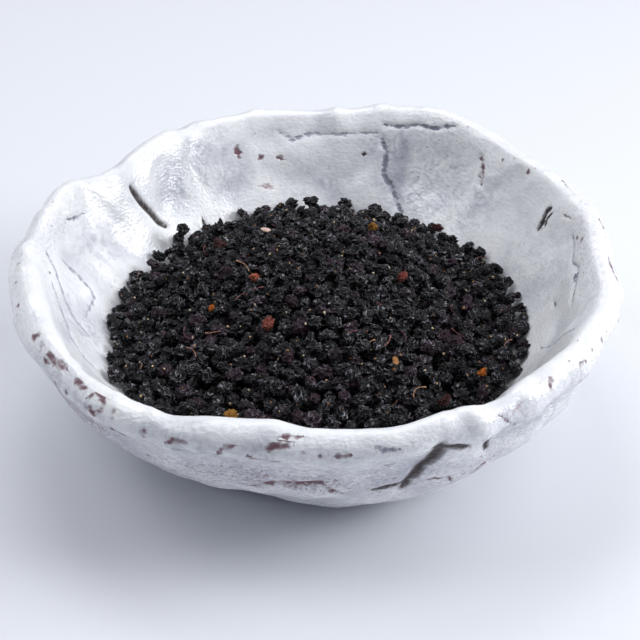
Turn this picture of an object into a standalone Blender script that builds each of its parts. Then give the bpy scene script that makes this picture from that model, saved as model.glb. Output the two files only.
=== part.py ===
"""A hand-pressed, glazed stoneware bowl, filled with a mound of dried elderberries.

Run it with blender --background --python part.py, or from Blender's text editor. Metres, +Z up.
The origin is the centre of the bowl's flat underside, and -Y is the front.

The bowl is one fired piece. The dried berries lie loose in it: most of them are joined here into one
solid, elderberry_heap, whose top is as lumpy as the real surface. The berries that lie on top of it, the
skins that dried red or tan, the stalks and the bare seeds are solids of their own.
"""

import math
import random

import bmesh
import bpy
from mathutils import Euler, Matrix, Vector, noise
from mathutils.bvhtree import BVHTree
from mathutils.geometry import delaunay_2d_cdt

MM = 0.001

# Driving dimensions, in millimetres.
RIM_HEIGHT = 47.0        # the rim's mean height over the table
RIM_RADIUS = 80.0        # the lip's mean outer radius
FOOT_RADIUS = 46.0       # the flat underside
FOOT_ROLL = 4.0          # how high its rounded edge reaches
BERRY = 4.4              # a dried berry's length
HEAP_RADIUS = 58.0       # where the berries meet the wall
HEAP_EDGE = 24.5         # and how high that is
HEAP_CREST = 38.5        # the top of the mound
HEAP_ROUNDNESS = 1.7     # 1 is a cone, and 2 a dome
HEAP_TILT = 1.5          # the mound was poured from the back, so it is this much higher there
SEAT_GAP = 0.4           # kept between solids that rest on each other

# The top layer of joined berries. Millimetres, but for the scatter.
BERRY_SPACING = 4.0      # between the middles of neighbours
BERRY_SCATTER = 0.22     # how far each is off its place, as a share of that
BERRY_STANDS = (0.2, 1.5)    # the least and most that one stands above the mound's smooth top
GAP_SINKS = (1.0, 2.2)       # and how far the gaps between them go down
HEAP_SEED = 5
SAME_POINT = 1e-4        # points closer than this are one

BOWL_STEPS = 72
HEAP_STEPS = 72

# The wall in section, as (share of RIM_RADIUS, share of RIM_HEIGHT), from the foot up the outside,
# over the lip and down the inside to the centre.
OUTSIDE = (
    (FOOT_RADIUS / RIM_RADIUS, 0.0), (0.620, 0.030), (0.725, 0.170), (0.845, 0.380),
    (0.945, 0.630), (0.988, 0.830), (1.004, 0.940),
)
LIP = ((0.985, 1.010), (0.952, 1.025))
INSIDE = (
    (0.925, 0.980), (0.892, 0.880), (0.820, 0.680), (0.728, 0.500), (0.610, 0.318),
    (0.430, 0.205), (0.200, 0.175), (0.0, 0.170),
)
SECTION_CUTS = 2         # straight pieces between two points of the section

# The hand-pressed rim: (azimuth, spread) in degrees, then how far the wall is pushed out and lifted.
RIM_SWELLS = (
    (63, 16, 4.0, 2.6), (108, 18, 2.0, 0.0), (146, 7, -3.0, -0.5), (160, 10, 1.0, 1.0), (180, 12, 1.6, 0.0),
    (0, 20, -2.0, 0.0), (-20, 12, 1.0, 0.0), (-86, 9, 0.0, -0.8), (-100, 9, -1.5, 0.6),
    (-60, 12, 2.0, 0.6), (-126, 17, 1.8, -2.2), (-150, 14, 1.0, 0.0),
)
# Bulges and dents that thumbs left in the wall: (azimuth, spread) in degrees, height, reach up and
# down, push.
WALL_BULGES = (
    (-146, 22, 27.0, 14.0, 2.4), (-36, 20, 24.0, 12.0, 2.4), (-72, 16, 10.0, 9.0, 2.0),
    (-110, 14, 12.0, 9.0, -1.6), (-25, 9, 34.0, 9.0, -2.4), (100, 20, 22.0, 12.0, 1.2),
    (30, 18, 25.0, 12.0, -1.0), (175, 16, 18.0, 10.0, 1.0),
)
PINCH_SIZE = 17.0        # the palm and finger marks all over the wall are about this far apart
PINCH_DEPTH = 1.3        # and push it this far in or out

# Sub-parts that lie on the mound. Places are (azimuth in degrees, distance from the centre in mm).
# A berry is (azimuth, distance, length in mm, turn in degrees).
BLACK_BERRIES = (
    (93, 53, 5.2, 20), (97, 46, 4.6, 75), (38, 56, 4.8, 35), (139, 56, 4.9, 80), (138, 55, 4.6, 10),
    (68, 41, 4.7, 130), (115, 40, 5.0, 60), (20, 44, 4.6, 100), (-8, 51, 4.5, 15), (183, 50, 4.8, 140),
    (168, 37, 4.4, 30), (35, 26, 5.1, 85), (80, 18, 4.5, 10), (-109, 41, 6.0, 50), (-97, 43, 5.4, 110),
    (-77, 38, 5.6, 65), (-30, 24, 4.6, 20), (205, 48, 4.9, 95), (-140, 15, 4.5, 160), (-75, 12, 4.7, 40),
)
RED_BERRIES = (
    (177, 18, 3.3, 25), (-127, 23, 4.8, 60), (141, 37, 4.4, 15), (47, 51, 4.4, 120), (171, 26, 4.2, 10),
    (-104, 33, 4.3, 80), (-32, 42, 4.8, 45), (-52, 52, 4.4, 30), (6, 23, 4.2, 70),
)
TAN_BERRIES = ((-116, 52, 4.0, 20), (-162, 31, 2.8, 70), (-35, 52, 2.8, 10), (63, 34, 3.6, 50))
# A seed is (azimuth, distance, turn).
SEEDS = ((-57, 36, 95), (117, 35, 150))
# A stalk is (azimuth, distance, length, turn, bend): bend is how far its middle bows out, as a share.
STALKS = (
    (-163, 20, 8.2, 24, 0.12), (160, 23, 8.0, 119, -0.10), (-154, 39, 6.0, 117, 0.20),
    (-144, 42, 4.8, 124, -0.15), (-147, 34, 4.0, 177, 0.04), (-23, 41, 5.4, 152, 0.10),
    (-62, 28, 4.2, 50, 0.15), (-54, 30, 4.2, 65, -0.12), (-70, 24, 3.4, 31, 0.10),
    (-56, 46, 5.0, 47, 0.25), (-45, 31, 3.8, 105, -0.15), (29, 54, 5.8, 50, 0.20), (-16, 53, 4.4, 56, 0.10),
)
STALK_THICKNESS = 0.6
SEED_SIZE = (3.6, 1.9, 1.1)
BERRY_SHAPE = (1.0, 0.84, 0.70)    # length, width and height of a dried berry, as shares of its length
WRINKLE_DEPTH = 0.13               # of a berry's radius

# Colour (linear) and roughness of each finish.
FINISHES = {
    "white_glaze": ((0.82, 0.83, 0.86), 0.22),
    "black_berry": ((0.012, 0.011, 0.013), 0.50),
    "red_berry": ((0.20, 0.055, 0.035), 0.55),
    "tan_berry": ((0.30, 0.19, 0.07), 0.60),
    "seed": ((0.36, 0.20, 0.09), 0.55),
    "stalk": ((0.22, 0.10, 0.07), 0.60),
}


def clear_scene():
    for obj in list(bpy.data.objects):
        bpy.data.objects.remove(obj, do_unlink=True)


def finish(name):
    """The material called name, made on first use."""
    if name in bpy.data.materials:
        return bpy.data.materials[name]
    colour, roughness = FINISHES[name]
    material = bpy.data.materials.new(name)
    material.use_nodes = True
    shader = material.node_tree.nodes["Principled BSDF"]
    shader.inputs["Base Color"].default_value = (*colour, 1.0)
    shader.inputs["Roughness"].default_value = roughness
    shader.inputs["Metallic"].default_value = 0.0
    return material


def add_object(name, shape, material):
    """Turns a bmesh into a named object with smooth faces."""
    bmesh.ops.recalc_face_normals(shape, faces=shape.faces)
    mesh = bpy.data.meshes.new(name)
    shape.to_mesh(mesh)
    shape.free()
    mesh.shade_smooth()
    mesh.materials.append(finish(material))
    obj = bpy.data.objects.new(name, mesh)
    bpy.context.scene.collection.objects.link(obj)
    return obj


def smooth_through(points, cuts):
    """Points of a smooth (Catmull-Rom) curve through points, cuts pieces between each two."""
    ends = [points[0], *points, points[-1]]
    curve = []
    for before, start, end, after in zip(ends, ends[1:], ends[2:], ends[3:]):
        for step in range(cuts):
            t = step / cuts
            curve.append(
                0.5 * (2 * start + (end - before) * t
                       + (2 * before - 5 * start + 4 * end - after) * t ** 2
                       + (3 * start - before - 3 * end + after) * t ** 3)
            )
    return curve + [points[-1]]


def falloff(distance, spread):
    return math.exp(-((distance / spread) ** 2))


def angle_between(a, b):
    """The smaller angle between two azimuths, in degrees."""
    return abs((a - b + 180) % 360 - 180)


def pressed(point):
    """Where a point of the turned wall goes once the wall is pressed by hand. In millimetres."""
    distance = math.hypot(point.x, point.y)
    if distance < 1e-6:
        return point.copy()
    azimuth = math.degrees(math.atan2(point.y, point.x))
    # The rim's swells fade out down the wall, and nothing moves the flat foot.
    share = max(point.z / RIM_HEIGHT, 0.0) ** 2
    off_foot = min(distance / FOOT_RADIUS, 1.0) ** 4 * min(point.z / FOOT_ROLL, 1.0)
    push = lift = 0.0
    for centre, spread, out, up in RIM_SWELLS:
        near = falloff(angle_between(azimuth, centre), spread)
        push += out * near * share
        lift += up * near * share
    for centre, spread, height, reach, out in WALL_BULGES:
        near = falloff(angle_between(azimuth, centre), spread)
        push += out * near * falloff(point.z - height, reach) * off_foot
    push += PINCH_DEPTH * noise.noise(point / PINCH_SIZE) * off_foot
    scale = (distance + push) / distance
    return Vector((point.x * scale, point.y * scale, point.z + lift))


def turned(section, steps):
    """A bmesh of section, points in millimetres in the XZ plane, turned about Z."""
    shape = bmesh.new()
    points = [shape.verts.new(p) for p in section]
    edges = [shape.edges.new(pair) for pair in zip(points, points[1:])]
    bmesh.ops.spin(
        shape, geom=points + edges, cent=(0, 0, 0), axis=(0, 0, 1),
        angle=2 * math.pi, steps=steps, use_merge=True,
    )
    bmesh.ops.remove_doubles(shape, verts=shape.verts, dist=0.01)
    return shape


def wall_points(shares):
    return [Vector((RIM_RADIUS * r, 0.0, RIM_HEIGHT * z)) for r, z in shares]


def make_bowl():
    wall = smooth_through(wall_points(OUTSIDE + LIP + INSIDE), SECTION_CUTS)
    shape = turned([Vector((0, 0, 0)), *wall], BOWL_STEPS)
    for vert in shape.verts:
        vert.co = pressed(vert.co) * MM
    return add_object("bowl", shape, "white_glaze")


def mound_height(distance, azimuth):
    """Height of the mound's smooth top, in millimetres; azimuth in radians."""
    share = min(distance / HEAP_RADIUS, 1.0)
    rise = (HEAP_CREST - HEAP_EDGE) * (1 - share ** HEAP_ROUNDNESS)
    return HEAP_EDGE + rise + HEAP_TILT * share * math.sin(azimuth)


def berry_tops():
    """Where the berries in the mound's top layer lie, as (x, y) in millimetres about one berry apart."""
    draw = random.Random(HEAP_SEED)
    row_height = BERRY_SPACING * math.sin(math.pi / 3)
    rows = int(HEAP_RADIUS / row_height) + 1
    tops = []
    for row in range(-rows, rows + 1):
        for column in range(-rows, rows + 1):
            shift = Vector((draw.uniform(-1, 1), draw.uniform(-1, 1))) * BERRY_SPACING * BERRY_SCATTER
            top = Vector(((column + row % 2 / 2) * BERRY_SPACING, row * row_height)) + shift
            if top.length < HEAP_RADIUS - BERRY_SPACING:
                tops.append(top)
    return tops


def heap_surface(ring):
    """(points, triangles) of the mound's top inside ring, a list of (x, y): one lump for each berry.

    The triangles count the ring's points first, and then the points that are returned.
    """
    tops = berry_tops()
    # A gap opens in the middle of each three berries that touch.
    spots, _, threes = delaunay_2d_cdt(ring + tops, [], [], 0, SAME_POINT, False)[:3]
    gaps = [sum((spots[i] for i in three), Vector((0, 0))) / 3 for three in threes]
    gaps = [gap for gap in gaps if gap.length < HEAP_RADIUS - BERRY_SPACING / 2]
    spots, _, triangles = delaunay_2d_cdt(ring + tops + gaps, [], [], 0, SAME_POINT, False)[:3]
    draw = random.Random(HEAP_SEED + 1)
    points = []
    for index, spot in enumerate(spots[len(ring):]):
        height = mound_height(spot.length, math.atan2(spot.y, spot.x))
        if index < len(tops):
            height += draw.uniform(*BERRY_STANDS)
        else:
            height -= draw.uniform(*GAP_SINKS)
        points.append(Vector((*spot, height)))
    return points, triangles


def make_heap():
    """The joined berries: a lumpy mound whose underside follows the bowl's inside."""
    inside = smooth_through(wall_points(INSIDE), SECTION_CUTS)
    below = [p for p in inside if p.z < HEAP_EDGE - 2 * SEAT_GAP]
    inset = [Vector((max(p.x - 2 * SEAT_GAP, 0.0), 0, p.z + 2 * SEAT_GAP)) for p in below]
    edge = Vector((HEAP_RADIUS - 3 * SEAT_GAP, 0, HEAP_EDGE))
    shape = turned([edge, *inset], HEAP_STEPS)
    rim = [vert for vert in shape.verts if vert.is_boundary]
    rim.sort(key=lambda vert: math.atan2(vert.co.y, vert.co.x))
    points, triangles = heap_surface([vert.co.xy for vert in rim])
    verts = rim + [shape.verts.new(p) for p in points]
    for triangle in triangles:
        shape.faces.new([verts[i] for i in triangle])
    for vert in shape.verts:
        vert.co = pressed(vert.co) * MM
    return add_object("elderberry_heap", shape, "black_berry")


def place_on_mound(azimuth, distance):
    """The point of the mound's smooth top at (azimuth in degrees, distance in mm), in metres."""
    turn = math.radians(azimuth)
    height = mound_height(distance, turn)
    return Vector((distance * math.cos(turn), distance * math.sin(turn), height)) * MM


def drop(shape, ground):
    """Lowers shape until it is SEAT_GAP clear of ground, a bmesh of all that lies there so far."""
    below, above = BVHTree.FromBMesh(ground), BVHTree.FromBMesh(shape)
    down, high = Vector((0, 0, -1)), Vector((0, 0, RIM_HEIGHT * MM))
    falls = []
    for vert in shape.verts:
        hit = below.ray_cast(vert.co + high, down)[0]
        if hit is not None:
            falls.append(vert.co.z - hit.z)
    for vert in ground.verts:
        hit = above.ray_cast(vert.co - high, -down)[0]
        if hit is not None:
            falls.append(hit.z - vert.co.z)
    bmesh.ops.translate(shape, verts=shape.verts, vec=(0, 0, SEAT_GAP * MM - min(falls)))


def wrinkled_berry(length, seed):
    """A dried berry about the origin, in metres: an ellipsoid whose skin has sunk into folds."""
    shape = bmesh.new()
    bmesh.ops.create_icosphere(shape, subdivisions=2, radius=0.5)
    offset = Vector((seed * 7.3, seed * 3.1, seed * 5.7))
    for vert in shape.verts:
        fold = abs(noise.noise(vert.co * 4.2 + offset))
        vert.co *= 1 - WRINKLE_DEPTH * 2 * fold
        vert.co = Vector(v * share for v, share in zip(vert.co, BERRY_SHAPE))
    bmesh.ops.scale(shape, verts=shape.verts, vec=(length * MM,) * 3)
    return shape


def make_berry(name, place, material, ground, seed):
    azimuth, distance, length, turn = place
    shape = wrinkled_berry(length, seed)
    draw = random.Random(seed)
    tilt = Euler((draw.uniform(-0.5, 0.5), draw.uniform(-0.4, 0.4), math.radians(turn)))
    middle = Matrix.Translation(place_on_mound(azimuth, distance) + Vector((0, 0, length * MM)))
    bmesh.ops.transform(shape, verts=shape.verts, matrix=middle @ tilt.to_matrix().to_4x4())
    drop(shape, ground)
    return add_object(name, shape, material)


def make_seed(name, place, ground):
    """A bare elderberry seed: long, flattened and pointed at one end."""
    azimuth, distance, turn = place
    shape = bmesh.new()
    bmesh.ops.create_uvsphere(shape, u_segments=10, v_segments=7, radius=0.5)
    bmesh.ops.rotate(shape, verts=shape.verts, matrix=Matrix.Rotation(math.pi / 2, 3, "Y"))
    for vert in shape.verts:
        taper = 1 - 0.5 * max(vert.co.x, 0.0)
        vert.co.y *= taper
        vert.co.z *= taper
    bmesh.ops.scale(shape, verts=shape.verts, vec=[s * MM for s in SEED_SIZE])
    middle = Matrix.Translation(place_on_mound(azimuth, distance) + Vector((0, 0, BERRY * MM)))
    turned_round = middle @ Matrix.Rotation(math.radians(turn), 4, "Z")
    bmesh.ops.transform(shape, verts=shape.verts, matrix=turned_round)
    drop(shape, ground)
    return add_object(name, shape, "seed")


def make_stalk(name, place, ground):
    """A thread-thin berry stalk that bows along its length and follows the mound's slope."""
    azimuth, distance, length, turn, bend = place
    middle = place_on_mound(azimuth, distance)
    along = Vector((math.cos(math.radians(turn)), math.sin(math.radians(turn)), 0))
    across = Vector((-along.y, along.x, 0))
    route = []
    for share in (-0.5, -0.3, -0.1, 0.1, 0.3, 0.5):
        bow = bend * (0.25 - share ** 2) * 4
        point = middle + (along * share + across * bow) * length * MM
        point.z = mound_height(point.xy.length / MM, math.atan2(point.y, point.x)) * MM
        route.append(point)
    shape = tube(route, STALK_THICKNESS / 2 * MM)
    bmesh.ops.translate(shape, verts=shape.verts, vec=(0, 0, BERRY * MM))
    drop(shape, ground)
    return add_object(name, shape, "stalk")


def tube(route, radius, sides=6):
    """A closed tube of that many sides along route, thicker at the end where the berry hung."""
    shape = bmesh.new()
    rings = []
    for index, point in enumerate(route):
        ahead = route[min(index + 1, len(route) - 1)] - route[max(index - 1, 0)]
        side = ahead.cross(Vector((0, 0, 1))).normalized()
        up = side.cross(ahead).normalized()
        thick = radius * (1.5 if index == len(route) - 1 else 1.0)
        turns = [2 * math.pi * n / sides for n in range(sides)]
        rings.append([
            shape.verts.new(point + (side * math.cos(t) + up * math.sin(t)) * thick) for t in turns
        ])
    for ring in (rings[0], rings[-1]):
        shape.faces.new(ring)
    for ring, following in zip(rings, rings[1:]):
        edges = [
            shape.edges.get((a, b)) or shape.edges.new((a, b))
            for loop in (ring, following) for a, b in zip(loop, loop[1:] + loop[:1])
        ]
        bmesh.ops.bridge_loops(shape, edges=edges)
    return shape


def main():
    clear_scene()
    ground = bmesh.new()
    ground.from_mesh(make_bowl().data)
    ground.from_mesh(make_heap().data)

    seed = 0
    for kind, places in (("black", BLACK_BERRIES), ("red", RED_BERRIES), ("tan", TAN_BERRIES)):
        for number, place in enumerate(places, start=1):
            seed += 1
            name = f"{kind}_elderberry_{number:02d}"
            ground.from_mesh(make_berry(name, place, f"{kind}_berry", ground, seed).data)
    for number, place in enumerate(SEEDS, start=1):
        ground.from_mesh(make_seed(f"elderberry_seed_{number:02d}", place, ground).data)
    for number, place in enumerate(STALKS, start=1):
        ground.from_mesh(make_stalk(f"berry_stalk_{number:02d}", place, ground).data)
    ground.free()


main()
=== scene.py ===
"""The looks of a hand-pinched, white glazed stoneware bowl heaped with dried elderberries.

Every place here is in millimetres in the CAD's own frame, and turns into metres as it goes into a mesh.
"""

import math
import random

import bmesh
import bpy
import numpy as np
from mathutils import Euler, Matrix, Vector, noise
from mathutils.bvhtree import BVHTree


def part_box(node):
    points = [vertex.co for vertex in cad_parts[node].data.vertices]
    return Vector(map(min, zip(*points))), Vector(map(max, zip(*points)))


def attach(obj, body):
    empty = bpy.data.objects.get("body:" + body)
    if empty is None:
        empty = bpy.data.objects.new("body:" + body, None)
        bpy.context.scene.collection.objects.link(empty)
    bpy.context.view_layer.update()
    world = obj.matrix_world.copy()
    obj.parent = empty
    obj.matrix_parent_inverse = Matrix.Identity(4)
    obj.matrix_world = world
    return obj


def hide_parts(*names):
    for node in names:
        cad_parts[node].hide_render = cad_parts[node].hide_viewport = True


MM = 0.001

# The bowl's turned section and the marks of the hands on it, the same as the CAD's.
RIM_HEIGHT = 47.0
RIM_RADIUS = 80.0
FOOT_RADIUS = 46.0
FOOT_ROLL = 4.0
OUTSIDE = (
    (FOOT_RADIUS / RIM_RADIUS, 0.0), (0.620, 0.030), (0.725, 0.170), (0.845, 0.380),
    (0.945, 0.630), (0.988, 0.830), (1.004, 0.940),
)
LIP = ((0.985, 1.010), (0.952, 1.025))
INSIDE = (
    (0.925, 0.980), (0.892, 0.880), (0.820, 0.680), (0.728, 0.500), (0.610, 0.318),
    (0.430, 0.205), (0.200, 0.175), (0.0, 0.170),
)
# (azimuth, spread) in degrees, then how far the wall is pushed out and lifted.
RIM_SWELLS = (
    (63, 16, 4.0, 2.6), (108, 18, 2.0, 0.0), (146, 7, -3.0, -0.5), (160, 10, 1.0, 1.0), (180, 12, 1.6, 0.0),
    (0, 20, -2.0, 0.0), (-20, 12, 1.0, 0.0), (-86, 9, 0.0, -0.8), (-100, 9, -1.5, 0.6),
    (-60, 12, 2.0, 0.6), (-126, 17, 1.8, -2.2), (-150, 14, 1.0, 0.0),
)
# (azimuth, spread) in degrees, height, reach up and down, push.
WALL_BULGES = (
    (-146, 22, 27.0, 14.0, 2.4), (-36, 20, 24.0, 12.0, 2.4), (-72, 16, 10.0, 9.0, 2.0),
    (-110, 14, 12.0, 9.0, -1.6), (-25, 9, 34.0, 9.0, -2.4), (100, 20, 22.0, 12.0, 1.2),
    (30, 18, 25.0, 12.0, -1.0), (175, 16, 18.0, 10.0, 1.0),
)
PINCH_SIZE = 17.0
PINCH_DEPTH = 1.3

# How finely the bowl is turned: pieces between two points of the section, and steps round.
OUTSIDE_CUTS = 11
LIP_CUTS = 11
INSIDE_CUTS = (9, 14, 14, 8, 4, 3, 2)
BOWL_STEPS = 640

# Unevenness of the wall that is finer than the CAD's: (size, depth) of each kind.
THUMB_MARKS = (10.0, 0.70)
FINGERTIPS = (4.6, 0.22)
LIP_FOLD = (17.0, 1.3)       # overlapping folds across the lip, this far apart
LIP_REACH = 10.0             # how far down from the lip's crest they run
FOLD_SLANT = 0.35            # how far a fold leans round the rim for each step down
LIP_ROLL = 2.1               # how far the rolled lip stands out
ROLL_PLACE = (5.5, 4.5)      # how far down the outside the roll is fullest, and its spread
TUCK_PLACE = (16.0, 5.0)     # the same for the tuck below it
TUCK_DEPTH = 0.8             # as a share of the roll
WIPED_INSIDE = 0.75          # the inside is wiped smoother than the outside
PEEL_STRETCH = 1.7           # how much longer the glaze's peel is round the wall than up it

# Lines where the glaze drew back, and a few grooves painted grey as the shadow in them: (tone, half
# width, depth of the groove, wall), then (azimuth in degrees, height) of the points of each.
EARTH, WINE, ASH, ROSE, FAINT = 0.1, 0.35, 0.6, 0.8, 0.95
MARKS = (
    (EARTH, 1.0, 1.1, "in", (143, 42.3), (143, 41.1), (142, 36.5), (140, 32.9), (139, 30.3), (137, 28.2)),
    (ASH, 0.5, 0.3, "in", (165, 45.2), (162, 43.6), (159, 42.6)),
    (WINE, 0.4, 0.3, "out", (178, 47.8), (177, 46.0), (178, 44.5)),
    (FAINT, 0.55, 0.15, "in", (178, 44.2), (180, 40), (-176, 37.3), (-172, 34.8), (-169, 32), (-167, 28.7)),
    (FAINT, 0.55, 0.15, "in", (-174, 41), (-170, 38.1), (-165, 35.9), (-160, 35.9), (-156, 32.9),
     (-155, 27.8)),
    (FAINT, 0.55, 0.15, "in", (174, 38.4), (173, 34.2), (174, 29.7), (176, 28.5), (-175, 29.5)),
    (WINE, 1.2, 0.1, "out", (-145, 46.3), (-140, 46.1)),
    (WINE, 1.0, 0.1, "out", (-137, 46.0), (-134, 45.6)),
    (WINE, 0.7, 0.1, "out", (-132.4, 44.7), (-131.3, 46.2), (-129.2, 46.0), (-128.2, 44.4),
     (-129.4, 42.9), (-131.6, 43.1)),
    (WINE, 0.6, 0.1, "out", (-127, 39.4), (-126, 41), (-124, 40.7), (-123.4, 39), (-125, 37.8)),
    (WINE, 0.6, 0.1, "out", (-116, 42.4), (-114, 43.8), (-112, 43.6)),
    (WINE, 0.55, 0.1, "out", (-107, 42.6), (-106, 44.6), (-104, 44.9)),
    (WINE, 0.9, 0.1, "out", (-137, 39.9), (-135, 40.6)),
    (WINE, 0.8, 0.2, "out", (-102, 43.2), (-101.5, 41), (-100, 39.8), (-98, 40.2), (-97, 41.7)),
    (WINE, 0.7, 0.1, "out", (-99, 45.2), (-95, 45.7)), (WINE, 0.5, 0.1, "out", (-96, 47.2), (-93, 47.0)),
    (WINE, 0.7, 0.1, "out", (-88, 43.6), (-85, 43.5)),
    (ASH, 0.6, 0.1, "out", (-81, 44.7), (-79, 44.2), (-77, 44.4)),
    (ASH, 0.6, 0.1, "out", (-79, 36.4), (-77, 37.6)),
    (WINE, 1.0, 1.0, "out", (-106, 24.3), (-103, 24.7), (-99, 27.3), (-96, 29.0), (-90, 29.0),
     (-88, 26.5), (-85, 21.9)),
    (EARTH, 2.6, 1.2, "out", (-70, 42.3), (-69.5, 39), (-70.5, 36), (-71.5, 33)),
    (EARTH, 1.7, 1.0, "out", (-70.5, 36), (-72, 31.8), (-73, 26.8), (-73, 21.3)),
    (EARTH, 1.1, 0.6, "out", (-73, 25.8), (-77, 25.3), (-80, 24.6)),
    (EARTH, 1.4, 0.8, "out", (-71, 42.4), (-67, 40.4), (-63.5, 37.4)),
    (WINE, 0.5, 0.4, "out", (-70, 24), (-68, 25), (-66, 23.3), (-64, 23.1), (-62, 17.5)),
    (EARTH, 1.1, 0.7, "out", (-57, 37.1), (-59, 36.2), (-58, 30.9)),
    (WINE, 0.45, 0.3, "out", (-58, 20.3), (-57, 24.5), (-55, 25.3)),
    # Painted shadow: the wide grey one, at -55 degrees, is a notch between lumps of the lip, toned grey for
    # the shade in it.
    (WINE, 0.4, 0.3, "out", (-59, 46.4), (-57, 43.6)), (ASH, 2.0, 0.5, "out", (-55, 40.5), (-54, 39.6)),
    (ROSE, 0.5, 0.2, "out", (-54, 47.0), (-55, 46.6), (-57, 45.6)),
    (ASH, 0.5, 0.4, "out", (-52, 41.6), (-48, 40.2), (-44, 38)),
    (WINE, 0.4, 0.2, "out", (27, 47.6), (24, 47.6)),
    (EARTH, 0.75, 0.9, "in", (22.4, 43.8), (23.2, 42.5), (22.3, 39.5), (22.3, 37.6)),
    (EARTH, 0.35, 0.4, "in", (20.8, 43.2), (21.4, 41.5), (20.6, 39.5)),
    (WINE, 0.4, 0.2, "in", (17, 45.1), (14, 46)), (WINE, 0.45, 0.2, "out", (11, 46.9), (7, 46.9)),
    (WINE, 0.4, 0.2, "out", (-2, 46.5), (-5, 46.5), (-8, 46.4), (-10, 46.1)),
    (ASH, 0.4, 0.3, "in", (-1, 31.4), (-4, 31.8)),
    (FAINT, 0.5, 0.2, "in", (-27, 44.7), (-24, 37.9), (-19, 31), (-16, 26.3)),
    (ASH, 0.3, 0.5, "in", (10, 43.5), (3, 41.7), (-2, 43.3), (-10, 38.5)),
    (WINE, 1.3, 0.2, "in", (111, 41.4), (111, 38.8)), (WINE, 1.2, 0.2, "in", (100.6, 36.9), (99.6, 36.9)),
    (ROSE, 0.8, 0.1, "in", (107, 30.2), (103, 29.4)),
    # Painted shadow: a groove toned grey for the shade under the far lip's folds.
    (FAINT, 0.7, 0.3, "in", (100, 44.1), (97, 41.7), (93, 43), (87, 42.9), (84, 43.2), (76, 43.6)),
    # Painted shade: a crease down the back wall, toned grey for the shade in it.
    (ASH, 0.9, 0.7, "in", (75, 42.9), (73, 39.4), (73, 34.5), (70, 30.4), (66, 25.7), (64, 23.5)),
    # Painted shadow: a groove toned grey for the shade under the far rim's folds.
    (ASH, 0.6, 0.4, "in", (75, 46.3), (71, 46.3), (67, 47.4), (63, 47.1), (60, 48.6), (58, 49.2)),
    (WINE, 0.9, 0.8, "in", (49, 44.2), (47, 41.2), (46, 38.2)),
    (EARTH, 0.5, 0.3, "in", (126, 26.4), (126, 25)),
)
# Round spots: (tone, depth, wall), then (half width, azimuth, height) of each.
SPOTS = (
    (ROSE, 0.0, "out", (0.5, -174, 47.6), (0.6, -164, 45.0)),
    (WINE, 0.0, "out", (0.55, -168, 46.8), (0.6, -161, 46.6)),
    (EARTH, 0.2, "in", (0.5, -177, 41.8), (0.7, 79, 38.2)),
    (WINE, 0.1, "out", (1.3, -151, 47.0), (1.1, -148, 46.6), (0.9, -126, 44.6), (1.0, -120, 43.2),
     (0.8, -145, 45.1), (0.9, -141, 41.9), (0.7, -138, 42.4), (0.6, -131, 37.4), (0.8, -135, 32.3),
     (0.7, -134, 29.3), (0.8, -123, 29), (0.7, -119, 24.6), (0.7, -93, 44.3), (0.6, -90, 43.8),
     (0.7, -47, 46.4), (0.8, -46, 47.2), (0.8, -39, 46), (0.6, -37, 46), (0.7, -34, 46.6), (0.6, -30, 46),
     (0.9, -21, 44.2)),
    (EARTH, 0.3, "out", (0.9, -55, 25.3)),
    (WINE, 0.1, "in", (0.6, 40, 48.0), (0.7, 43, 46.5), (0.6, 35, 47), (0.8, 5, 46.4), (0.8, 8, 45)),
    (EARTH, 0.2, "out", (0.8, 31, 47.4)),
    (ASH, 0.1, "in", (0.5, -4, 41.4)),
    (EARTH, 0.1, "in", (0.6, -10, 38.5)),
    (WINE, 0.2, "in", (1.0, 105, 37.5)),
)
MARK_MARGIN = 1.1            # past its edge, a mark's width runs out over this distance
THIN_MARK = 0.6              # a mark with less half width than this is a line
MARK_REACH = 6.0             # nothing is worked out further from a mark than this

# Patches of (wall, azimuth, spread, height, reach, amount): where the clay shows through as freckles.
CLAY_SHOWS = (
    ("out", -142, 18, 31, 8, 0.95), ("out", -165, 16, 37, 7, 0.6), ("out", -98, 26, 29, 7, 0.8),
    ("out", -130, 26, 21, 9, 0.7), ("out", -78, 14, 28, 9, 0.6), ("out", -62, 16, 22, 10, 0.5),
    ("out", -25, 22, 42, 5, 0.45), ("out", 20, 26, 44, 5, 0.4), ("out", 178, 16, 42, 6, 0.5),
    ("out", 70, 40, 34, 8, 0.6), ("out", 125, 30, 33, 10, 0.6), ("out", 40, 30, 28, 12, 0.5),
    ("out", 150, 22, 28, 12, 0.55), ("out", 92, 26, 22, 10, 0.5), ("out", -10, 24, 26, 11, 0.5),
    ("in", 0, 20, 46, 4, 0.4), ("in", 170, 14, 46, 4, 0.3), ("in", 60, 16, 47, 4, 0.3),
)
# Where the glaze is plain and smooth: a crescent over the foot.
PLAIN = (("out", -96, 9, 21, 5, 1.0),)
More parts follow.
